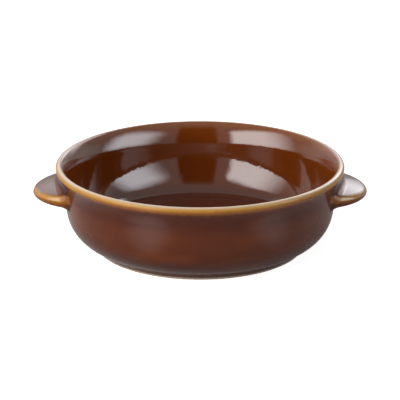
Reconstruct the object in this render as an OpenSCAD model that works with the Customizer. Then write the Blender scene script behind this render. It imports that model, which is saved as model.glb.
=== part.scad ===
// Round stoneware baking dish with two lug handles, standing on a foot ring.
// Millimetres, +Z up. The origin is on the table under the middle of the dish, and the lugs lie along X.

/* [Bowl] */
// Outer diameter across the rim
rim_d = 200; // [160:1:260]
// Height from the table to the top of the rim
height = 60; // [52:0.5:80]
// Thickness of the rounded rim
rim_t = 5.2; // [4:0.1:8]
// Lean of the lip's outer face at the rim, in degrees from upright
lip_lean = 36; // [20:1:45]
// Radius of the hollow curve under the lip
lip_r = 23; // [15:0.5:50]
// Lean of the outer face at the neck, where the lip starts, in degrees from upright
neck_lean = 5; // [2:0.5:10]
// Radius of the long curve of the side, outside
side_r = 200; // [100:5:300]
// Radius of the curve from the side round to the foot
belly_r = 27; // [18:0.5:36]
// Slope of the belly where it meets the foot, in degrees from flat
belly_slope = 21; // [12:1:35]

/* [Inside of the bowl] */
// Lean of the lip's inner face at the rim, in degrees from upright
mouth_lean = 40; // [25:1:50]
// Radius of the swelling curve inside the lip
mouth_r = 28.5; // [20:0.5:50]
// Lean of the inner face at the neck, in degrees from upright
throat_lean = 7; // [3:0.5:12]
// Radius of the long curve of the side, inside
hold_r = 85; // [70:1:160]
// Lean of the inner face where the side passes into the heel, a fuller curve low down
heel_lean = 16.5; // [14:0.5:20]
// Thickness of the floor
floor_t = 6.5; // [4:0.1:10]
// Lean of the inner face where the heel passes into the cove
cove_lean = 35; // [28:0.5:45]
// Radius of the cove, the inside corner between the heel and the floor
cove_r = 14; // [8:0.5:24]

/* [Foot ring] */
// Height of the foot ring
foot_h = 4.8; // [3:0.1:8]
// How far each side of the ring draws in on its way down
foot_draw = 3.7; // [1:0.1:6]
// Width of the ring's standing face, before its edges are rounded
foot_w = 6.5; // [4:0.1:14]
// Rounding of the ring's lower edges
foot_edge = 0.8; // [0.3:0.1:1.5]

/* [Lugs] */
// Reach of a lug beyond the rim
lug_out = 16; // [10:0.1:26]
// Radius of a lug's rounded outline
lug_r = 32.5; // [24:0.5:42]
// Drop from the top of the rim to the upper face of a lug at its tip
lug_drop = 18; // [15:0.1:26]
// Thickness of a lug at its tip
lug_t = 5.2; // [4:0.1:9]
// Rise of the upper face towards the bowl, in degrees
lug_rise = 6; // [0:0.5:12]
// Swell of the upper face above its edge
lug_crown = 3; // [0:0.1:6]
// Fall of the lower face towards the bowl, in degrees
lug_fall = 2; // [0:0.5:8]
// Depth of the rounding on a lug's edge
lug_edge = 3; // [1.5:0.1:4.5]
// Radius of the hollow curve above and below a lug, where it grows out of the bowl
lug_root = 6.5; // [2:0.1:8]
// Distance in from a lug's edge at which the upper hollow has its full height
lug_gather = 9; // [4:0.5:16]
// Radius of the hollow curve at a lug's sides
lug_flank = 3; // [2:0.1:8]

/* [Hidden] */

$fn = 192;
glaze = "#50281a";
lug_glaze = "#8f5a24";
bare_clay = "#a08672";

// Points along an arc; with first = 1 the start is left out, because the line before it ends there
function arc(c, r, from, to, steps, first = 0) =
    [for (i = [first : steps]) let (a = from + (to - from) * i / steps) c + r * [cos(a), sin(a)]];

// Outward direction in the half section, square to a surface that leans out by a degrees
function outward(a) = [cos(a), -sin(a)];

// Outer half section: belly, side and lip are arcs that run smoothly into each other and into the rim
arc_steps = 10;
rim_steps = 16;
rim_r = rim_d / 2;
nose_r = rim_t / 2;
nose_c = [rim_r - nose_r, height - nose_r];
lip_c = nose_c + (lip_r + nose_r) * outward(lip_lean);
neck = lip_c - lip_r * outward(neck_lean);
side_c = neck - side_r * outward(neck_lean);
belly_z = foot_h + belly_r * cos(belly_slope);
belly_c = [side_c.x + sqrt((side_r - belly_r) ^ 2 - (belly_z - side_c.y) ^ 2), belly_z];
belly_lean = atan2(side_c.y - belly_c.y, belly_c.x - side_c.x);
belly_top = belly_c + belly_r * outward(belly_lean);
base_r = belly_c.x + belly_r * sin(belly_slope);
outer_line = concat(
    [[0, foot_h]],
    arc(belly_c, belly_r, belly_slope - 90, -belly_lean, arc_steps),
    arc(side_c, side_r, -belly_lean, -neck_lean, arc_steps, 1),
    arc(lip_c, lip_r, 180 - neck_lean, 180 - lip_lean, arc_steps, 1)
);
rim_line = arc(nose_c, nose_r, -lip_lean, 180 - mouth_lean, rim_steps, 1);

// Inner half section: a swelling mouth, a throat, a long hollow side, a heel and a cove down to the floor.
// The heel's radius follows from the height that is left to it. The wall grows thicker from the rim down.
mouth_c = nose_c + (mouth_r - nose_r) * outward(mouth_lean);
throat = mouth_c - mouth_r * outward(throat_lean);
hold_c = throat - hold_r * outward(throat_lean);
heel_top = hold_c + hold_r * outward(heel_lean);
floor_z = foot_h + floor_t;
cove_top_z = floor_z + cove_r * (1 - sin(cove_lean));
heel_r = (heel_top.y - cove_top_z) / (sin(cove_lean) - sin(heel_lean));
heel_c = heel_top - heel_r * outward(heel_lean);
cove_c = heel_c + (heel_r - cove_r) * outward(cove_lean);
inner_line = concat(
    arc(mouth_c, mouth_r, 180 - mouth_lean, 180 - throat_lean, arc_steps, 1),
    arc(hold_c, hold_r, -throat_lean, -heel_lean, arc_steps, 1),
    arc(heel_c, heel_r, -heel_lean, -cove_lean, arc_steps, 1),
    arc(cove_c, cove_r, -cove_lean, -90, arc_steps, 1),
    [[0, floor_z]]
);

module bowl() {
    color(glaze) rotate_extrude() polygon(concat(outer_line, rim_line, inner_line));
}

// Foot ring: both sides draw in by the same angle, and both lower corners are rounded
foot_lean = atan2(foot_draw, foot_h);
foot_cut = foot_edge * tan((90 - foot_lean) / 2);
foot_out = base_r - foot_draw;
foot_in = foot_out - foot_w;

module foot_ring() {
    color(bare_clay) rotate_extrude() polygon(concat(
        [[foot_in - foot_draw, foot_h], [base_r, foot_h]],
        arc([foot_out - foot_cut, foot_edge], foot_edge, -foot_lean, -90, arc_steps),
        arc([foot_in + foot_cut, foot_edge], foot_edge, -90, foot_lean - 180, arc_steps)
    ));
}

// Radius of the bowl's outer surface at a height
function wall_at(z) =
    z < belly_top.y ? belly_c.x + sqrt(belly_r ^ 2 - (z - belly_c.y) ^ 2)
    : z < neck.y ? side_c.x + sqrt(side_r ^ 2 - (z - side_c.y) ^ 2)
    : lip_c.x - sqrt(lip_r ^ 2 - (z - lip_c.y) ^ 2);

// Lug: a round tongue that spreads above, below and to both sides in a hollow curve as it leaves the bowl.
// The curve aims a little inside the wall, so that it meets it at an angle and not in a feather edge.
root_sink = 0.3;
lug_z = height - lug_drop;
lug_tip = rim_r + lug_out;
lug_c = lug_tip - lug_r;
upper_seat = wall_at(lug_z + lug_root) - root_sink;
side_seat = wall_at(lug_z - lug_t / 2) - root_sink;
lower_seat = wall_at(lug_z - lug_t - lug_root) - root_sink;
function hollow(gap, radius) =
    gap >= radius ? 0 : radius - sqrt(radius ^ 2 - (radius - max(0, gap)) ^ 2);

// Sections of the lug lie on cylinders about the bowl's axis: through the root, along the faces, at the tip
root_steps = 10;
face_steps = 5;
tip_steps = 6;
half_steps = 10;
root_from = lower_seat - root_sink;
root_to = upper_seat + lug_root;
face_to = lug_tip - lug_edge;
section_radii = concat(
    [for (i = [0 : root_steps]) root_from + (root_to - root_from) * i / root_steps],
    [for (i = [1 : face_steps]) root_to + (face_to - root_to) * i / face_steps],
    [for (i = [1 : tip_steps - 1]) face_to + lug_edge * sin(90 * i / tip_steps)]
);

// A point of the section at radius r: way runs from 0 at the lug's edge to 1 at its middle, side is 1 or -1
// for the half of the lug, and up is 1 or -1 for the upper or lower skin
function lug_point(r, way, side, up) =
    let (
        deepest = lug_r + lug_c - r,
        spread = hollow(r - side_seat, lug_flank),
        depth = (deepest + spread) * way,
        edge = lug_edge + spread,
        swell = depth >= edge ? 1 : sqrt(1 - (1 - depth / edge) ^ 2),
        seat = side_seat + ((up > 0 ? upper_seat : lower_seat) - side_seat) * swell,
        plan_r = lug_r - deepest * way + hollow(r - seat, lug_flank) * (1 - way),
        x = (r ^ 2 - plan_r ^ 2 + lug_c ^ 2) / (2 * lug_c),
        y = side * sqrt(max(0, r ^ 2 - x ^ 2)),
        crown = lug_crown * (1 - (plan_r / lug_r) ^ 2),
        gathered = sin(90 * min(1, depth / lug_gather)) * hollow(r - upper_seat, lug_root),
        upper = lug_z + (lug_tip - x) * tan(lug_rise) + crown + gathered,
        lower = lug_z - lug_t - (lug_tip - x) * tan(lug_fall) - hollow(r - lower_seat, lug_root)
    )
    [x, y, (upper + lower + up * swell * (upper - lower)) / 2];

// One ring of points round the section, closer together near the edge
ways = [for (i = [0 : half_steps]) (i / half_steps) ^ 2];
function lug_ring(r) = concat(
    [for (i = [0 : half_steps]) lug_point(r, ways[i], 1, 1)],
    [for (i = [half_steps - 1 : -1 : 0]) lug_point(r, ways[i], -1, 1)],
    [for (i = [1 : half_steps]) lug_point(r, ways[i], -1, -1)],
    [for (i = [half_steps - 1 : -1 : 1]) lug_point(r, ways[i], 1, -1)]
);

module lug_blank() {
    rings = len(section_radii);
    n = 4 * half_steps;
    root_point = [lug_c, 0, lug_z - lug_t / 2];
    tip_point = [lug_tip, 0, lug_z - lug_t / 2];
    points = concat([for (r = section_radii) each lug_ring(r)], [root_point, tip_point]);
    skin = [for (k = [0 : rings - 2], i = [0 : n - 1])
        let (a = k * n + i, b = k * n + (i + 1) % n)
        each [[a, b, b + n], [a, b + n, a + n]]];
    root_cap = [for (i = [0 : n - 1]) [rings * n, (i + 1) % n, i]];
    last = (rings - 1) * n;
    tip_cap = [for (i = [0 : n - 1]) [last + i, last + (i + 1) % n, rings * n + 1]];
    polyhedron(points, concat(skin, root_cap, tip_cap));
}

module lug() {
    color(lug_glaze) difference() {
        lug_blank();
        rotate_extrude() polygon(concat(outer_line, rim_line, [[0, height]]));
    }
}

module right_lug() {
    lug();
}

module left_lug() {
    mirror([1, 0, 0]) lug();
}

bowl();
foot_ring();
left_lug();
right_lug();
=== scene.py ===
import math
import bmesh
import bpy
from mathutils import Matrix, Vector


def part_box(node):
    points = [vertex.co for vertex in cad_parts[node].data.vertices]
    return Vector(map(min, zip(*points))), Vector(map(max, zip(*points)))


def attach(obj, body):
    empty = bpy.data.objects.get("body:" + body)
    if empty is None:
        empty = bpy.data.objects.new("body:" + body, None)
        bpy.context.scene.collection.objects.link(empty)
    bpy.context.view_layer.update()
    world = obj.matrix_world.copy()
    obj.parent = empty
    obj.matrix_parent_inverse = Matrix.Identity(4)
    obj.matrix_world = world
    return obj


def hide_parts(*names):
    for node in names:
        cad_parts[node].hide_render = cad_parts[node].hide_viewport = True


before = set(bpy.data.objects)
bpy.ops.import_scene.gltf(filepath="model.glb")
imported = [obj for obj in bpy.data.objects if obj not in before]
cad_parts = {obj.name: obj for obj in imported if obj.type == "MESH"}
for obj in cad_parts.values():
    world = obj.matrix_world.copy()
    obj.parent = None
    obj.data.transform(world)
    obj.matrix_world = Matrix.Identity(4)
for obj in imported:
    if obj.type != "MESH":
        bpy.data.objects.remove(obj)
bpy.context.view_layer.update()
mm = 0.001
mergeGap = 0.002 * mm
# in the functions below s is a piece's settings, and p the places worked out from them


# small helpers for the modelling
def deselectAll():
    if bpy.context.object and bpy.context.object.mode != "OBJECT":
        bpy.ops.object.mode_set(mode="OBJECT")
    bpy.ops.object.select_all(action="DESELECT")


def startAtPoint(name, x, z):
    # a plane merged to its middle is the single vertex that a section is drawn from
    deselectAll()
    bpy.ops.mesh.primitive_plane_add(size=mm, location=(0, 0, 0))
    piece = bpy.context.object
    piece.name = name
    piece.data.name = name
    bpy.ops.object.mode_set(mode="EDIT")
    bpy.ops.mesh.select_all(action="SELECT")
    bpy.ops.mesh.merge(type="CENTER")
    bpy.ops.transform.translate(value=(x, 0, z))
    return piece


def lineTo(piece, x, z, steps):
    mesh = bmesh.from_edit_mesh(piece.data)
    here = next(v.co for v in mesh.verts if v.select)
    move = ((x - here.x) / steps, 0, (z - here.z) / steps)
    for _ in range(steps):
        bpy.ops.mesh.extrude_region_move(TRANSFORM_OT_translate={"value": move})


def arcTo(centre, fromAngle, toAngle, steps):
    # angles in the half section: 0 points away from the axis, 90 points up
    bpy.ops.mesh.spin(
        steps=steps,
        angle=math.radians(toAngle - fromAngle),
        center=(centre[0], 0, centre[1]),
        axis=(0, 1, 0),
    )


def turnRound(turns):
    # the drawn half section is spun about the dish's axis, then its seam and poles are closed
    bpy.ops.mesh.select_all(action="SELECT")
    bpy.ops.mesh.spin(steps=turns, angle=math.tau, center=(0, 0, 0), axis=(0, 0, 1))
    closeUp()


def closeUp():
    bpy.ops.mesh.select_all(action="SELECT")
    bpy.ops.mesh.remove_doubles(threshold=mergeGap)
    bpy.ops.mesh.normals_make_consistent(inside=False)
    bpy.ops.mesh.select_all(action="DESELECT")
    bpy.ops.object.mode_set(mode="OBJECT")


def smooth(piece, angle):
    deselectAll()
    piece.select_set(True)
    bpy.context.view_layer.objects.active = piece
    bpy.ops.object.shade_smooth_by_angle(angle=math.radians(angle))


def dress(piece, node, slot, *looks):
    for look in looks:
        piece.data.materials.append(look)
    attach(piece, "root")
    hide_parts(node)


# bowl: half section drawn as arcs that run into each other, then turned round the axis
bowlSettings = {
    "rimThickness": 5.2 * mm,
    # leans are degrees from upright
    "outerLipLean": 36,
    "outerLipRadius": 23 * mm,
    "outerNeckLean": 5,
    "outerSideRadius": 200 * mm,
    "bellyRadius": 27 * mm,
    "bellySlope": 21,
    "innerLipLean": 40,
    "innerLipRadius": 28.5 * mm,
    "innerNeckLean": 7,
    "innerSideRadius": 85 * mm,
    "heelLean": 16.5,
    "coveLean": 35,
    "coveRadius": 14 * mm,
    "floorThickness": 6.5 * mm,
    "turns": 256,
    "arcSteps": 20,
    "rimSteps": 24,
    "baseSteps": 4,
    "floorSteps": 6,
    "smoothUnder": 40,
}


def outward(lean):
    return Vector((math.cos(math.radians(lean)), -math.sin(math.radians(lean))))


def innerTangent(bigCentre, bigRadius, height, smallRadius):
    # centre, at this height, of a circle that touches the big one from inside, and its lean there
    rise = height - bigCentre.y
    centre = Vector((bigCentre.x + math.sqrt((bigRadius - smallRadius) ** 2 - rise ** 2), height))
    return centre, math.degrees(math.atan2(-rise, centre.x - bigCentre.x))


def bowlSection(s):
    low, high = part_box("bowl")
    nose = s["rimThickness"] / 2
    noseCentre = Vector(((high[0] - low[0]) / 2 - nose, high[2] - nose))
    outerLip = noseCentre + (s["outerLipRadius"] + nose) * outward(s["outerLipLean"])
    outerNeck = outerLip - s["outerLipRadius"] * outward(s["outerNeckLean"])
    outerSide = outerNeck - s["outerSideRadius"] * outward(s["outerNeckLean"])
    bellyHeight = low[2] + s["bellyRadius"] * math.cos(math.radians(s["bellySlope"]))
    belly, bellyLean = innerTangent(outerSide, s["outerSideRadius"], bellyHeight, s["bellyRadius"])
    innerLip = noseCentre + (s["innerLipRadius"] - nose) * outward(s["innerLipLean"])
    innerNeck = innerLip - s["innerLipRadius"] * outward(s["innerNeckLean"])
    innerSide = innerNeck - s["innerSideRadius"] * outward(s["innerNeckLean"])
    heelTop = innerSide + s["innerSideRadius"] * outward(s["heelLean"])
    floor = low[2] + s["floorThickness"]
    coveTop = floor + s["coveRadius"] * (1 + outward(s["coveLean"]).y)
    heelRadius = (heelTop.y - coveTop) / (outward(s["heelLean"]).y - outward(s["coveLean"]).y)
    heel = heelTop - heelRadius * outward(s["heelLean"])
    cove = heel + (heelRadius - s["coveRadius"]) * outward(s["coveLean"])
    return {
        "top": high[2],
        "underside": low[2],
        "floor": floor,
        "nose": noseCentre,
        "outerLip": outerLip,
        "outerNeck": outerNeck,
        "outerSide": outerSide,
        "belly": belly,
        "bellyLean": bellyLean,
        "baseRadius": belly.x + s["bellyRadius"] * math.sin(math.radians(s["bellySlope"])),
        "innerLip": innerLip,
        "innerSide": innerSide,
        "heel": heel,
        "cove": cove,
    }


section = bowlSection(bowlSettings)


def makeBowl(s, p):
    steps = s["arcSteps"]
    bowl = startAtPoint("bowl_body", 0, p["underside"])
    lineTo(bowl, p["baseRadius"], p["underside"], s["baseSteps"])
    arcTo(p["belly"], s["bellySlope"] - 90, -p["bellyLean"], steps)
    arcTo(p["outerSide"], -p["bellyLean"], -s["outerNeckLean"], steps)
    arcTo(p["outerLip"], 180 - s["outerNeckLean"], 180 - s["outerLipLean"], steps)
    arcTo(p["nose"], -s["outerLipLean"], 180 - s["innerLipLean"], s["rimSteps"])
    arcTo(p["innerLip"], 180 - s["innerLipLean"], 180 - s["innerNeckLean"], steps)
    arcTo(p["innerSide"], -s["innerNeckLean"], -s["heelLean"], steps)
    arcTo(p["heel"], -s["heelLean"], -s["coveLean"], steps)
    arcTo(p["cove"], -s["coveLean"], -90, steps)
    lineTo(bowl, 0, p["floor"], s["floorSteps"])
    turnRound(s["turns"])
    smooth(bowl, s["smoothUnder"])
    return bowl


# foot ring: a low trapezoid section with its lower corners rounded, turned the same way
footSettings = {
    "draw": 3.7 * mm,  # how far each side is drawn in towards the table
    "width": 6.5 * mm,
    "edge": 0.8 * mm,
    "turns": 256,
    "edgeSteps": 8,
    "faceSteps": 4,
    "soleSteps": 3,
    "smoothUnder": 40,
}


def makeFoot(s, p):
    height = p["underside"]
    outer = p["baseRadius"] - s["draw"]
    inner = outer - s["width"]
    lean = math.degrees(math.atan2(s["draw"], height))
    cut = s["edge"] * math.tan(math.radians((90 - lean) / 2))
    foot = startAtPoint("foot_ring_body", inner - s["draw"], height)
    lineTo(foot, p["baseRadius"], height, s["faceSteps"])
    corner = (outer - cut, s["edge"])
    start = Vector(corner) + s["edge"] * outward(lean)
    lineTo(foot, start.x, start.y, s["faceSteps"])
    arcTo(corner, -lean, -90, s["edgeSteps"])
    corner = (inner + cut, s["edge"])
    lineTo(foot, corner[0], 0, s["soleSteps"])
    arcTo(corner, -90, lean - 180, s["edgeSteps"])
    lineTo(foot, inner - s["draw"], height, s["faceSteps"])
    turnRound(s["turns"])
    smooth(foot, s["smoothUnder"])
    return foot


# lugs: rings of points lofted out of the wall, with a rounded edge and a hollow root
lugSettings = {
    "radius": 32.5 * mm,
    "drop": 18 * mm,  # from the rim's top down to the upper face at the tip
    "thickness": 5.2 * mm,
    "rise": 6,  # degrees that the upper face climbs towards the bowl
    "fall": 2,  # degrees that the lower face drops
    "crown": 3 * mm,
    "edge": 3 * mm,
    "root": 6.5 * mm,
    "gather": 9 * mm,  # how far in from the edge the upper hollow has its full height
    "flank": 3 * mm,
    "sink": 0.3 * mm,
    "rootSteps": 20,
    "faceSteps": 10,
    "tipSteps": 14,
    "halfSteps": 22,
    "smoothUnder": 60,
}


def wallAt(z):
    s = bowlSettings
    p = section
    bellyTop = p["belly"] + s["bellyRadius"] * outward(p["bellyLean"])
    if z < bellyTop.y:
        return p["belly"].x + math.sqrt(s["bellyRadius"] ** 2 - (z - p["belly"].y) ** 2)
    if z < p["outerNeck"].y:
        return p["outerSide"].x + math.sqrt(s["outerSideRadius"] ** 2 - (z - p["outerSide"].y) ** 2)
    return p["outerLip"].x - math.sqrt(s["outerLipRadius"] ** 2 - (z - p["outerLip"].y) ** 2)


def hollow(gap, radius):
    if gap >= radius:
        return 0
    return radius - math.sqrt(radius ** 2 - (radius - max(0, gap)) ** 2)


def lugPlaces(s):
    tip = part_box("right_lug")[1][0]
    height = section["top"] - s["drop"]
    # the wall beside the lug is nearly a cone
    slope = (wallAt(height + s["root"]) - wallAt(height - s["root"])) / (2 * s["root"])
    return {
        "tip": tip,
        "wallSlope": slope,
        "wallFoot": wallAt(height) - slope * height,
        "centre": tip - s["radius"],
        "height": height,
        "upperSeat": wallAt(height + s["root"]) - s["sink"],
        "sideSeat": wallAt(height - s["thickness"] / 2) - s["sink"],
        "lowerSeat": wallAt(height - s["thickness"] - s["root"]) - s["sink"],
    }


def lugPoint(s, p, r, way, side, up):
    # r is the ring's distance from the bowl's axis; way runs from 0 at the edge to 1 at the middle;
    # side and up are 1 or -1
    deepest = s["radius"] + p["centre"] - r
    spread = hollow(r - p["sideSeat"], s["flank"])
    depth = (deepest + spread) * way
    edge = s["edge"] + spread
    swell = 1 if depth >= edge else math.sqrt(1 - (1 - depth / edge) ** 2)
    seat = p["sideSeat"] + ((p["upperSeat"] if up > 0 else p["lowerSeat"]) - p["sideSeat"]) * swell
    planRadius = s["radius"] - deepest * way + hollow(r - seat, s["flank"]) * (1 - way)
    x = (r ** 2 - planRadius ** 2 + p["centre"] ** 2) / (2 * p["centre"])
    y = side * math.sqrt(max(0, r ** 2 - x ** 2))
    upper = p["height"] + (p["tip"] - x) * math.tan(math.radians(s["rise"]))
    upper += s["crown"] * (1 - (planRadius / s["radius"]) ** 2)
    gathered = math.sin(math.pi / 2 * min(1, depth / s["gather"]))
    upper += hollow(r - p["upperSeat"], s["root"]) * gathered
    lower = p["height"] - s["thickness"] - (p["tip"] - x) * math.tan(math.radians(s["fall"]))
    lower -= hollow(r - p["lowerSeat"], s["root"])
    return Vector((x, y, (upper + lower + up * swell * (upper - lower)) / 2))


def lugRing(s, p, r):
    n = s["halfSteps"]
    ways = [(i / n) ** 2 for i in range(n + 1)]
    ring = [lugPoint(s, p, r, w, 1, 1) for w in ways]
    ring += [lugPoint(s, p, r, w, -1, 1) for w in ways[-2::-1]]
    ring += [lugPoint(s, p, r, w, -1, -1) for w in ways[1:]]
    ring += [lugPoint(s, p, r, w, 1, -1) for w in ways[-2:0:-1]]
    return ring


def placeSelected(piece, points):
    mesh = bmesh.from_edit_mesh(piece.data)
    chosen = sorted((v for v in mesh.verts if v.select), key=lambda v: v.index)
    for vert, point in zip(chosen, points):
        vert.co = point
    bmesh.update_edit_mesh(piece.data)


def makeLug(s, p):
    rootFrom = p["lowerSeat"] - s["sink"]
    rootTo = p["upperSeat"] + s["root"]
    faceTo = p["tip"] - s["edge"]
    radii = [rootFrom + (rootTo - rootFrom) * i / s["rootSteps"] for i in range(s["rootSteps"] + 1)]
    radii += [rootTo + (faceTo - rootTo) * i / s["faceSteps"] for i in range(1, s["faceSteps"] + 1)]
    radii += [faceTo + s["edge"] * math.sin(math.pi / 2 * i / s["tipSteps"]) for i in range(1, s["tipSteps"])]
    ringPoints = 4 * s["halfSteps"]
    deselectAll()
    bpy.ops.mesh.primitive_circle_add(vertices=ringPoints, radius=s["radius"], location=(0, 0, 0))
    lug = bpy.context.object
    lug.name = "right_lug_body"
    lug.data.name = lug.name
    bpy.ops.object.mode_set(mode="EDIT")
    bpy.ops.mesh.select_all(action="SELECT")
    placeSelected(lug, lugRing(s, p, radii[0]))
    for r in radii[1:]:
        bpy.ops.mesh.extrude_region_move()
        placeSelected(lug, lugRing(s, p, r))
    bpy.ops.mesh.extrude_region_move()
    placeSelected(lug, [Vector((p["tip"], 0, p["height"] - s["thickness"] / 2))] * ringPoints)
    closeUp()
    smooth(lug, s["smoothUnder"])
    return lug


def mirrorLug(lug, s):
    deselectAll()
    lug.select_set(True)
    bpy.context.view_layer.objects.active = lug
    bpy.ops.object.duplicate()
    other = bpy.context.object
    other.name = "left_lug_body"
    other.data.name = other.name
    bpy.ops.object.mode_set(mode="EDIT")
    bpy.ops.mesh.select_all(action="SELECT")
    bpy.ops.transform.resize(value=(-1, 1, 1), center_override=(0, 0, 0))
    closeUp()
    smooth(other, s["smoothUnder"])
    return other


# small helpers for the finishes
def newMaterial(name):
    look = bpy.data.materials.new(name)
    look.use_nodes = True
    return look, look.node_tree, look.node_tree.nodes["Principled BSDF"]


def addNode(tree, kind, **values):
    node = tree.nodes.new(kind)
    for key, value in values.items():
        setattr(node, key, value)
    return node


def plug(tree, value, socket):
    # a number or a colour is written on the socket, an output is linked to it
    if isinstance(value, (int, float, tuple)):
        socket.default_value = value
    else:
        tree.links.new(value, socket)


def mathNode(tree, kind, *values, clamp=False):
    node = addNode(tree, "ShaderNodeMath", operation=kind, use_clamp=clamp)
    for value, socket in zip(values, node.inputs):
        plug(tree, value, socket)
    return node.outputs[0]


def product(tree, first, *others):
    result = first
    for other in others:
        result = mathNode(tree, "MULTIPLY", result, other)
    return result


def fade(tree, value, zeroAt, oneAt):
    # smooth mask that is 0 at one reading and 1 at the other
    node = addNode(tree, "ShaderNodeMapRange", interpolation_type="SMOOTHSTEP")
    plug(tree, value, node.inputs["Value"])
    node.inputs["From Min"].default_value = min(zeroAt, oneAt)
    node.inputs["From Max"].default_value = max(zeroAt, oneAt)
    node.inputs["To Min"].default_value = 0 if zeroAt < oneAt else 1
    node.inputs["To Max"].default_value = 1 if zeroAt < oneAt else 0
    return node.outputs["Result"]


def fadeAngle(tree, angle, zeroAt, oneAt):
    return fade(tree, angle, math.radians(zeroAt), math.radians(oneAt))


def between(tree, mask, atZero, atOne):
    # the mask stretched to run from one value to the other
    return mathNode(tree, "MULTIPLY_ADD", mask, atOne - atZero, atZero)


def centred(tree, noise, width):
    # noise that swings round 0
    return between(tree, noise, -width / 2, width / 2)


def objectPlace(tree):
    return addNode(tree, "ShaderNodeTexCoord").outputs["Object"]


def lengthOf(tree, first, second):
    square = mathNode(tree, "MULTIPLY_ADD", first, first, mathNode(tree, "MULTIPLY", second, second))
    return mathNode(tree, "SQRT", square)


def placeAxes(tree):
    # X, Y and Z in metres
    parts = addNode(tree, "ShaderNodeSeparateXYZ")
    plug(tree, objectPlace(tree), parts.inputs["Vector"])
    return parts.outputs


def noiseAt(tree, place, scale, detail, stretch=(1, 1, 1), shift=(0, 0, 0)):
    mapping = addNode(tree, "ShaderNodeMapping")
    mapping.inputs["Scale"].default_value = stretch
    mapping.inputs["Location"].default_value = shift
    plug(tree, place, mapping.inputs["Vector"])
    noise = addNode(tree, "ShaderNodeTexNoise")
    noise.inputs["Scale"].default_value = scale
    noise.inputs["Detail"].default_value = detail
    plug(tree, mapping.outputs["Vector"], noise.inputs["Vector"])
    return noise.outputs["Fac"]


def mixColour(tree, mask, first, second):
    # the Mix node's colour sockets come after those for numbers and vectors
    node = addNode(tree, "ShaderNodeMix", data_type="RGBA")
    plug(tree, mask, node.inputs["Factor"])
    plug(tree, first, node.inputs[6])
    plug(tree, second, node.inputs[7])
    return node.outputs[2]


# glaze: one skin for every piece, thin and amber on the edges, deep where it pools and where shade is painted
# in
glazeColours = {
    "poolAndShadeBrown": (0.045, 0.007, 0.0012, 1),
    "brown": (0.068, 0.0120, 0.0025, 1),
    "warm": (0.150, 0.032, 0.0038, 1),
    "amber": (0.27, 0.088, 0.009, 1),
    "gold": (0.50, 0.255, 0.040, 1),
    # a pale colour for the painted highlight along the rim's crest
    "paintedCrestHighlight": (0.62, 0.46, 0.28, 1),
    "speck": (0.33, 0.20, 0.11, 1),
    "clay": (0.62, 0.52, 0.42, 1),
    "burntClay": (0.44, 0.33, 0.25, 1),
}
# scales are in waves or cells to the metre
glazeTexture = {
    "streakScale": 16,
    "streakStretch": (1, 1, 6),  # squeezed in height, so that the streaks lie level
    "streakShare": 0.6,
    "cloudScale": 30,
    "cloudShift": (3, 1, 2),
    "cloudShare": 0.4,
    "blotchFrom": 0.48,
    "blotchFull": 0.66,
    "grainScale": 420,
    "grainTint": 0.12,
    "raggedScale": 260,
    "raggedWidth": 0.16,
    "amberFrom": 0.12,
    "amberFull": 0.62,
    "goldFull": 1.0,
    "speckScale": 95,
    "speckShare": 0.12,
    "speckEdge": 0.045,
    "speckCore": 0.02,
    "speckDent": 0.05,
    "waveScale": 55,
    "peelScale": 300,
    "peelHeight": 0.32,  # beside waves of height 1
    "roughness": 0.035,
    "grainRoughness": 0.03,
    "thinRoughness": 0.05,
}


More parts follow.
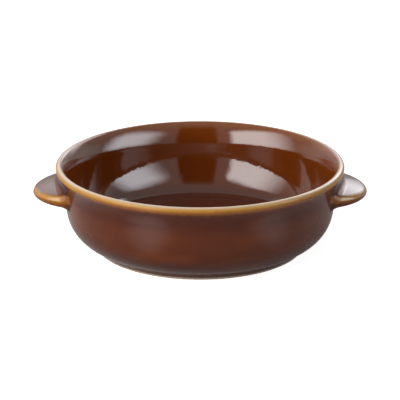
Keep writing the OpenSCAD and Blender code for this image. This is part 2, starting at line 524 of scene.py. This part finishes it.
def makeGlazeGroup(c, t):
    tree = bpy.data.node_groups.new("glazeSkin", "ShaderNodeTree")
    for name in ("Thin", "Pool", "Warm", "Streaks", "Specks"):
        tree.interface.new_socket(name, in_out="INPUT", socket_type="NodeSocketFloat")
    tree.interface.new_socket("Color", in_out="OUTPUT", socket_type="NodeSocketColor")
    tree.interface.new_socket("Roughness", in_out="OUTPUT", socket_type="NodeSocketFloat")
    tree.interface.new_socket("Height", in_out="OUTPUT", socket_type="NodeSocketFloat")
    given = addNode(tree, "NodeGroupInput").outputs
    result = addNode(tree, "NodeGroupOutput").inputs
    place = objectPlace(tree)

    # brown glaze: level streaks left by turning, broad clouds and a fine grain
    streaks = noiseAt(tree, place, t["streakScale"], detail=3, stretch=t["streakStretch"])
    clouds = noiseAt(tree, place, t["cloudScale"], detail=2, shift=t["cloudShift"])
    grain = noiseAt(tree, place, t["grainScale"], detail=2)
    cloudPart = mathNode(tree, "MULTIPLY", clouds, t["cloudShare"])
    blotch = mathNode(tree, "MULTIPLY_ADD", streaks, t["streakShare"], cloudPart)
    blotch = fade(tree, blotch, t["blotchFrom"], t["blotchFull"])
    blotch = mathNode(tree, "MULTIPLY", blotch, given["Streaks"])
    blotch = mathNode(tree, "ADD", blotch, centred(tree, grain, t["grainTint"]))
    blotch = mathNode(tree, "ADD", blotch, given["Warm"], clamp=True)
    colour = mixColour(tree, blotch, c["brown"], c["warm"])
    # the deep brown stands for glaze pooling and for painted shade in hollows and low down
    colour = mixColour(tree, given["Pool"], colour, c["poolAndShadeBrown"])

    # thin glaze: the clay shines through, amber first and gold on the sharpest edge
    ragged = centred(tree, noiseAt(tree, place, t["raggedScale"], detail=3), t["raggedWidth"])
    thin = mathNode(tree, "ADD", given["Thin"], ragged)
    colour = mixColour(tree, fade(tree, thin, t["amberFrom"], t["amberFull"]), colour, c["amber"])
    colour = mixColour(tree, fade(tree, thin, t["amberFull"], t["goldFull"]), colour, c["gold"])

    # a few pale specks, one in some of the cells
    cells = addNode(tree, "ShaderNodeTexVoronoi", feature="F1")
    cells.inputs["Scale"].default_value = t["speckScale"]
    plug(tree, place, cells.inputs["Vector"])
    pick = addNode(tree, "ShaderNodeSeparateColor")
    plug(tree, cells.outputs["Color"], pick.inputs["Color"])
    share = mathNode(tree, "MULTIPLY", given["Specks"], t["speckShare"])
    chosen = mathNode(tree, "LESS_THAN", pick.outputs["Red"], share)
    dot = product(tree, fade(tree, cells.outputs["Distance"], t["speckEdge"], t["speckCore"]), chosen)
    colour = mixColour(tree, dot, colour, c["speck"])

    # almost a mirror, a little duller on the thin edge, over slow waves and fine orange peel
    dull = mathNode(tree, "MULTIPLY", given["Thin"], t["thinRoughness"])
    gloss = mathNode(tree, "MULTIPLY_ADD", grain, t["grainRoughness"], dull)
    waves = noiseAt(tree, place, t["waveScale"], detail=1)
    peel = noiseAt(tree, place, t["peelScale"], detail=1)
    height = mathNode(tree, "MULTIPLY_ADD", peel, t["peelHeight"], waves)
    height = mathNode(tree, "MULTIPLY_ADD", dot, -t["speckDent"], height)
    plug(tree, colour, result["Color"])
    plug(tree, mathNode(tree, "ADD", gloss, t["roughness"]), result["Roughness"])
    plug(tree, height, result["Height"])
    return tree


glazeGroup = makeGlazeGroup(glazeColours, glazeTexture)


def glazeOn(tree, skin, waviness, **given):
    # lays the glaze group on a material's shader
    glaze = addNode(tree, "ShaderNodeGroup", node_tree=glazeGroup)
    for name, value in given.items():
        plug(tree, value, glaze.inputs[name])
    bump = addNode(tree, "ShaderNodeBump")
    bump.inputs["Strength"].default_value = 1
    bump.inputs["Distance"].default_value = waviness
    plug(tree, glaze.outputs["Height"], bump.inputs["Height"])
    plug(tree, bump.outputs["Normal"], skin.inputs["Normal"])
    plug(tree, glaze.outputs["Color"], skin.inputs["Base Color"])
    plug(tree, glaze.outputs["Roughness"], skin.inputs["Roughness"])
    return glaze


# the bowl's two skins: a duller one outside, a glossier one on the crest and inside
outerSkin = {
    "refraction": 1.34,
    "dullness": 0.15,
    "waviness": 0.08 * mm,
    "streaks": 0.35,
    "warmth": 0.0,
    "warmBelow": 46 * mm,  # a warmer band runs round between these heights
    "warmFrom": 37 * mm,
    "warmTo": 30 * mm,
    "warmAbove": 12 * mm,
    "bandWarmth": 0.32,
    "mouthThin": 0.0,
}
innerSkin = {
    "refraction": 1.75,
    "dullness": 0,
    "waviness": 0.11 * mm,
    "streaks": 0.2,
    "warmth": 0.68,
    "warmBelow": 75 * mm,
    "warmFrom": 70 * mm,
    "warmTo": 57 * mm,
    "warmAbove": 44 * mm,
    "bandWarmth": 0.35,
    "mouthThin": 0.36,  # how thin the glaze is inside the lip
}
bowlFinish = {
    # degrees round the rounded rim: 0 points away from the axis, 90 points up
    "thinFrom": -136,
    "thinFull": 58,
    # the band where the crest gets its painted highlight
    "crestHighlightFrom": 25,
    "crestHighlightFull": 62,
    "innerFull": 85,
    "innerEnd": 112,
    "mouthDepth": 9 * mm,
    # low inside the bowl the glaze turns deep: glaze pooling, with painted shade on the floor
    "poolShadeHeight": 9 * mm,  # above the floor
    "poolShadeDepth": 0.6,
    "specks": 0.5,
    "crestFacing": 0.85,  # rim faces that look up more than this take the inner skin
    "underFacing": -0.5,  # faces that look down more than this keep the outer one
}


def bowlGlaze(name, s):
    f = bowlFinish
    look, tree, skin = newMaterial(name)
    axes = placeAxes(tree)
    radius = lengthOf(tree, axes["X"], axes["Y"])
    z = axes["Z"]
    # the angle round the rounded rim says how thin the glaze has run there
    over = mathNode(tree, "SUBTRACT", z, section["nose"].y)
    out = mathNode(tree, "SUBTRACT", radius, section["nose"].x)
    angle = mathNode(tree, "ARCTAN2", over, out)
    inner = fadeAngle(tree, angle, f["innerEnd"], f["innerFull"])
    rim = product(tree, fadeAngle(tree, angle, f["thinFrom"], f["thinFull"]), inner)
    # cream on the crest is a painted highlight along the rim's top
    crestHighlight = product(tree, fadeAngle(tree, angle, f["crestHighlightFrom"], f["crestHighlightFull"]), inner)
    mouth = fade(tree, z, section["top"] - f["mouthDepth"], section["top"])
    thin = mathNode(tree, "MAXIMUM", rim, product(tree, mouth, s["mouthThin"]))
    # darker low inside the bowl: partly glaze pooling, partly painted shade
    low = fade(tree, z, section["floor"] + f["poolShadeHeight"], section["floor"])
    poolAndShade = product(tree, low, f["poolShadeDepth"])
    band = fade(tree, z, s["warmAbove"], s["warmTo"])
    band = product(tree, band, fade(tree, z, s["warmBelow"], s["warmFrom"]))
    warm = mathNode(tree, "MULTIPLY_ADD", band, s["bandWarmth"], s["warmth"])
    glaze = glazeOn(
        tree, skin, s["waviness"], Thin=thin, Pool=poolAndShade, Warm=warm, Streaks=s["streaks"], Specks=f["specks"]
    )
    colour = mixColour(tree, crestHighlight, glaze.outputs["Color"], glazeColours["paintedCrestHighlight"])
    plug(tree, colour, skin.inputs["Base Color"])
    plug(tree, mathNode(tree, "ADD", glaze.outputs["Roughness"], s["dullness"]), skin.inputs["Roughness"])
    skin.inputs["IOR"].default_value = s["refraction"]
    return look


def chooseBowlSkins(bowl, f):
    for face in bowl.data.polygons:
        facing = face.normal.x * face.center.x + face.normal.y * face.center.y
        onCrest = face.center.z > section["nose"].y and face.normal.z > f["crestFacing"]
        inside = facing <= 0 and face.normal.z > f["underFacing"]
        face.material_index = 1 if onCrest or inside else 0


# the lugs' glaze: dull sides and glossy tops, with a thin golden line along the upper arris
lugFinish = {
    "arrisFrom": 3.4 * mm,  # in from the edge
    "arrisFull": 1.4 * mm,
    "backAt": 14 * mm,  # this far behind the middle of the lug the line is at its narrowest
    "backNarrower": 1.5 * mm,
    "frontThin": 0.93,
    "backThin": 0.85,
    "edgeFrom": 3.8 * mm,  # below the upper face at the tip
    "edgeFull": 0.2 * mm,
    "lowerThin": {"right_lug": 0.06, "left_lug": 0.36},  # what is left of the gold lower down
    "crownFrom": 5 * mm,  # above the upper face at the tip, where the glaze is thick again
    "crownFull": 2.5 * mm,
    "wallFrom": 0.5 * mm,  # out from the bowl's wall
    "wallFull": 6 * mm,
    "wallThin": 0.55,
    # against the wall the lug is darkened: glaze pooling, with painted shade in the root's hollow
    "poolShadeFrom": 4 * mm,
    "poolShadeFull": 0.5 * mm,
    "waviness": 0.08 * mm,
    "warmth": 0.7,
    "streaks": 0.3,
    "specks": 0.4,
    "sideRefraction": 1.33,
    "topRefraction": 1.6,
    "topFacing": 0.2,  # faces that look up more than this, and lie this far from the wall, are the top
    "topGap": 5.5 * mm,
}


def lugGlaze(name, node, p, refraction):
    f = lugFinish
    look, tree, skin = newMaterial(name)
    axes = placeAxes(tree)
    radius = lengthOf(tree, axes["X"], axes["Y"])
    z = axes["Z"]
    along = mathNode(tree, "SUBTRACT", mathNode(tree, "ABSOLUTE", axes["X"]), p["centre"])
    inset = mathNode(tree, "SUBTRACT", lugSettings["radius"], lengthOf(tree, along, axes["Y"]))
    wallLine = mathNode(tree, "MULTIPLY_ADD", z, p["wallSlope"], p["wallFoot"])
    gap = mathNode(tree, "SUBTRACT", radius, wallLine)
    # thinnest on the upper arris, thicker down the edge and against the wall
    back = fade(tree, axes["Y"], 0, f["backAt"])
    narrowed = mathNode(tree, "MULTIPLY_ADD", back, f["backNarrower"], inset)
    arris = fade(tree, narrowed, f["arrisFrom"], f["arrisFull"])
    high = fade(tree, z, p["height"] - f["edgeFrom"], p["height"] - f["edgeFull"])
    high = between(tree, high, f["lowerThin"][node], 1)
    front = between(tree, back, f["frontThin"], f["backThin"])
    wall = between(tree, fade(tree, gap, f["wallFrom"], f["wallFull"]), f["wallThin"], 1)
    below = fade(tree, z, p["height"] + f["crownFrom"], p["height"] + f["crownFull"])
    thin = product(tree, arris, high, front, wall, below)
    # painted shade, with glaze pooling, in the hollow against the wall
    poolAndShade = fade(tree, gap, f["poolShadeFrom"], f["poolShadeFull"])
    glazeOn(
        tree, skin, f["waviness"],
        Thin=thin, Pool=poolAndShade, Warm=f["warmth"], Streaks=f["streaks"], Specks=f["specks"],
    )
    skin.inputs["IOR"].default_value = refraction
    return look


def chooseLugSkins(lug, f):
    for face in lug.data.polygons:
        gap = math.hypot(face.center.x, face.center.y) - wallAt(face.center.z)
        face.material_index = 1 if face.normal.z > f["topFacing"] and gap > f["topGap"] else 0


# the foot's finish: glaze down to a ragged line just above the table, bare clay below it
footFinish = {
    "raggedScale": 130,
    "raggedHeight": 0.8 * mm,
    "glazedAbove": 2.2 * mm,
    "bareBelow": 1.4 * mm,
    "gritScale": 900,
    "gritFrom": 0.35,
    "gritFull": 0.65,
    "clayThrough": 0.08,  # how much of the clay shows through the glaze
    "dryRoughness": 0.85,
    "waviness": 0.1 * mm,
    # the whole foot is taken a little towards the deep brown used for pooling and painted shade
    "poolAndShade": 0.25,
    "streaks": 0.3,
    "specks": 0.3,
    "refraction": 1.36,
}


def footLook(f):
    look, tree, skin = newMaterial("footGlazeAndClay")
    place = objectPlace(tree)
    z = placeAxes(tree)["Z"]
    ragged = centred(tree, noiseAt(tree, place, f["raggedScale"], detail=3), f["raggedHeight"])
    bare = fade(tree, mathNode(tree, "ADD", z, ragged), f["glazedAbove"], f["bareBelow"])
    grit = fade(tree, noiseAt(tree, place, f["gritScale"], detail=4), f["gritFrom"], f["gritFull"])
    clay = mixColour(tree, grit, glazeColours["burntClay"], glazeColours["clay"])
    glaze = glazeOn(
        tree, skin, f["waviness"],
        Thin=0.0, Pool=f["poolAndShade"], Warm=0.0, Streaks=f["streaks"], Specks=f["specks"],
    )
    through = between(tree, bare, f["clayThrough"], 1)
    plug(tree, mixColour(tree, through, glaze.outputs["Color"], clay), skin.inputs["Base Color"])
    dry = product(tree, bare, f["dryRoughness"])
    plug(tree, mathNode(tree, "MAXIMUM", glaze.outputs["Roughness"], dry), skin.inputs["Roughness"])
    skin.inputs["IOR"].default_value = f["refraction"]
    return look


# floor: white paper that keeps the shadow; to the camera and to reflections it is a little whiter still
stageSettings = {
    "size": 8.0,
    "colour": (0.85, 0.85, 0.85, 1),
    "roughness": 0.9,
    "lift": 0.85,
    "shine": 0.05,
}


def paperLook(s):
    look, tree, skin = newMaterial("whitePaper")
    skin.inputs["Base Color"].default_value = s["colour"]
    skin.inputs["Roughness"].default_value = s["roughness"]
    skin.inputs["Specular IOR Level"].default_value = 0
    skin.inputs["Emission Color"].default_value = (1, 1, 1, 1)
    path = addNode(tree, "ShaderNodeLightPath").outputs
    mirrored = mathNode(tree, "MAXIMUM", path["Is Glossy Ray"], path["Is Transmission Ray"])
    mirrored = mathNode(tree, "MULTIPLY", mirrored, s["shine"])
    seen = mathNode(tree, "MULTIPLY", path["Is Camera Ray"], s["lift"])
    plug(tree, mathNode(tree, "MAXIMUM", seen, mirrored), skin.inputs["Emission Strength"])
    return look


def makeFloor(s):
    deselectAll()
    bpy.ops.mesh.primitive_plane_add(size=s["size"], location=(0, 0, 0))
    floor = bpy.context.object
    floor.name = "floor"
    floor.data.materials.append(paperLook(s))


# lamps: upright panels, brightest in their middle. Azimuths, counted from the camera's side, and elevations
# are (dark edge, bright from, bright to, dark edge), and lean slants the panel's sides
leftPanel = {"azimuths": (-100, -57, -33.5, -26), "elevations": (-3, 12, 38, 49), "lean": 0}
rightPanel = {"azimuths": (30, 57, 73, 98), "elevations": (0, 15, 30, 48), "lean": 0.25}
rearRightPanel = {"azimuths": (117, 126, 148, 168), "elevations": (6, 26, 46, 53), "lean": 0.8}
rearLeftPanel = {"azimuths": (-162, -151, -145, -109), "elevations": (4, 26, 40, 54), "lean": -0.4}
rearPanel = {"azimuths": (148, 158, 185, 215), "elevations": (2, 27, 44, 60), "lean": -0.15}
# panel, brightness, colour, whether it lights what it falls on, whether it shows in the gloss
lampSettings = {
    "leftBox": (leftPanel, 4.95, (1, 0.96, 0.95), True, True),
    "leftFill": (leftPanel, 0.5, (1, 0.96, 0.93), True, False),
    "rightBox": (rightPanel, 4.25, (0.9, 0.93, 1), False, True),
    "rightFill": (rightPanel, 2.1, (1, 0.98, 0.96), True, False),
    "rearRightBox": (rearRightPanel, 2.75, (0.98, 0.96, 1), False, True),
    "rearLeftBox": (rearLeftPanel, 0.94, (0.98, 0.95, 1), False, True),
    "rearPaper": (rearPanel, 1.85, (1, 0.96, 1), False, True),
}
lampDistance = 3.5
cornerRoundness = 2.2
# soft cards that lie on the table and put a sheen on the side of the bowl: place, width, brightness, colour
cardSettings = {
    "leftCard": ((-80 * mm, -133 * mm), 90 * mm, 1.6, (1, 0.98, 1)),
    "rightCard": ((112 * mm, -115 * mm), 90 * mm, 0.9, (0.96, 0.92, 1)),
}
cardHeight = 1 * mm
cardStops = (-0.5, -0.12, 0.12, 0.5)


def direction(azimuth, elevation):
    a = math.radians(azimuth)
    e = math.radians(elevation)
    return Vector((math.sin(a) * math.cos(e), -math.cos(a) * math.cos(e), math.sin(e)))


def aimAt(thing, place, target):
    thing.location = place
    thing.rotation_euler = (Vector(target) - Vector(place)).to_track_quat("-Z", "Y").to_euler()


def addLamp(name, width, height, bright, colour, place, target):
    lamp = bpy.data.lights.new(name, "AREA")
    lamp.shape = "RECTANGLE"
    lamp.size = width
    lamp.size_y = height
    lamp.energy = bright * math.pi * width * height  # so that the panel itself looks this bright
    lamp.color = colour
    thing = bpy.data.objects.new(name, lamp)
    bpy.context.scene.collection.objects.link(thing)
    aimAt(thing, place, target)
    thing.visible_camera = False
    return thing


def feather(lamp, across, upright, lean):
    # the panel's light fades towards its edges and corners; both lists are shares of its width and height
    lamp.use_nodes = True
    tree = lamp.node_tree
    parts = addNode(tree, "ShaderNodeSeparateXYZ")
    plug(tree, addNode(tree, "ShaderNodeNewGeometry").outputs["Parametric"], parts.inputs["Vector"])
    u = parts.outputs["X"]
    v = parts.outputs["Y"]
    u = mathNode(tree, "MULTIPLY_ADD", mathNode(tree, "SUBTRACT", v, 0.5), lean, u)
    faded = 0
    for value, stops in ((u, across), (v, upright)):
        zero, full, lastFull, lastZero = (0.5 + stop for stop in stops)
        before = mathNode(tree, "DIVIDE", mathNode(tree, "SUBTRACT", full, value), full - zero)
        after = mathNode(tree, "DIVIDE", mathNode(tree, "SUBTRACT", value, lastFull), lastZero - lastFull)
        past = mathNode(tree, "MAXIMUM", mathNode(tree, "MAXIMUM", before, after), 0)
        faded = mathNode(tree, "ADD", faded, mathNode(tree, "POWER", past, cornerRoundness))
    faded = mathNode(tree, "POWER", faded, 1 / cornerRoundness)
    plug(tree, fade(tree, faded, 1, 0), tree.nodes["Emission"].inputs["Strength"])


def makeLamps():
    for name, (panel, bright, colour, lights, shows) in lampSettings.items():
        azimuths = panel["azimuths"]
        facing = (azimuths[0] + azimuths[3]) / 2
        across = [lampDistance * math.tan(math.radians(a - facing)) for a in azimuths]
        heights = [lampDistance * math.tan(math.radians(e)) for e in panel["elevations"]]
        place = direction(facing, 0) * lampDistance
        place.z = (heights[0] + heights[3]) / 2
        width = across[3] - across[0]
        height = heights[3] - heights[0]
        lamp = addLamp(name, width, height, bright, colour, place, (0, 0, place.z))
        upright = [(h - place.z) / height for h in heights]
        feather(lamp.data, [a / width for a in across], upright, panel["lean"])
        lamp.visible_diffuse = lights
        lamp.visible_glossy = shows
    for name, ((x, y), width, bright, colour) in cardSettings.items():
        card = addLamp(name, width, width, bright, colour, (x, y, cardHeight), (x, y, 1))
        feather(card.data, cardStops, cardStops, 0)
        card.visible_diffuse = False


# room: soft light all round, but dark in front, which keeps the middle of the dish free of shine
roomSettings = {
    "bright": 0.43,
    # degrees
    "darkFrom": -13,
    "darkTo": 18.5,
    "darkEdge": 5,
    "darkBelow": 42,
    "lightAbove": 64,
    "glow": 0.25,  # on the side walls towards the back
    "glowBelow": 27,
    "glowEdge": 10,
    # how far a direction points to the side and to the back, up to 1
    "sideFrom": 0.6,
    "sideFull": 0.85,
    "backFull": 0.3,
}


def rising(elevation):
    return math.sin(math.radians(elevation))


def makeRoom(s):
    world = bpy.data.worlds.new("studio")
    world.use_nodes = True
    tree = world.node_tree
    parts = addNode(tree, "ShaderNodeSeparateXYZ")
    plug(tree, addNode(tree, "ShaderNodeTexCoord").outputs["Generated"], parts.inputs["Vector"])
    x, y, z = parts.outputs
    azimuth = mathNode(tree, "ARCTAN2", x, mathNode(tree, "MULTIPLY", y, -1))
    left = fadeAngle(tree, azimuth, s["darkFrom"] - s["darkEdge"], s["darkFrom"])
    right = fadeAngle(tree, azimuth, s["darkTo"] + s["darkEdge"], s["darkTo"])
    low = fade(tree, z, rising(s["lightAbove"]), rising(s["darkBelow"]))
    dark = product(tree, left, right, low)
    light = mathNode(tree, "MULTIPLY", mathNode(tree, "SUBTRACT", 1, dark), s["bright"])
    aside = fade(tree, mathNode(tree, "ABSOLUTE", x), s["sideFrom"], s["sideFull"])
    behind = product(tree, aside, fade(tree, y, 0, s["backFull"]), s["glow"])
    wall = fade(tree, z, rising(s["glowBelow"]), rising(s["glowBelow"] - s["glowEdge"]))
    light = mathNode(tree, "MULTIPLY_ADD", behind, wall, light)
    tree.nodes["Background"].inputs["Color"].default_value = (1, 1, 1, 1)
    plug(tree, light, tree.nodes["Background"].inputs["Strength"])
    bpy.context.scene.world = world


cameraSettings = {
    "target": (0, 0, 0.032),
    "elevation": 18.85,
    "distance": 1.55,
    "lens": 200.3,
    "sensorWidth": 36,
}


def makeCamera(s):
    camera = bpy.data.objects.new("camera", bpy.data.cameras.new("camera"))
    bpy.context.scene.collection.objects.link(camera)
    camera.data.sensor_width = s["sensorWidth"]
    camera.data.lens = s["lens"]
    aimAt(camera, Vector(s["target"]) + direction(0, s["elevation"]) * s["distance"], s["target"])
    bpy.context.scene.camera = camera


makeCamera(cameraSettings)
makeFloor(stageSettings)
makeLamps()
makeRoom(roomSettings)
print("stage, lamps and camera are set")

bowl = makeBowl(bowlSettings, section)
dress(bowl, "bowl", "glaze", bowlGlaze("outerGlaze", outerSkin), bowlGlaze("innerGlaze", innerSkin))
chooseBowlSkins(bowl, bowlFinish)
print("bowl turned:", len(bowl.data.polygons), "faces")

foot = makeFoot(footSettings, section)
dress(foot, "foot_ring", "foot_clay", footLook(footFinish))
print("foot ring turned:", len(foot.data.polygons), "faces")

lugSpots = lugPlaces(lugSettings)
rightLug = makeLug(lugSettings, lugSpots)
leftLug = mirrorLug(rightLug, lugSettings)
for lug, node, look in ((rightLug, "right_lug", "rightLug"), (leftLug, "left_lug", "leftLug")):
    sideLook = lugGlaze(look + "Side", node, lugSpots, lugFinish["sideRefraction"])
    topLook = lugGlaze(look + "Top", node, lugSpots, lugFinish["topRefraction"])
    dress(lug, node, "glaze", sideLook, topLook)
    chooseLugSkins(lug, lugFinish)
print("lugs lofted:", len(rightLug.data.polygons), "faces each")

bpy.context.scene.view_settings.view_transform = "Standard"
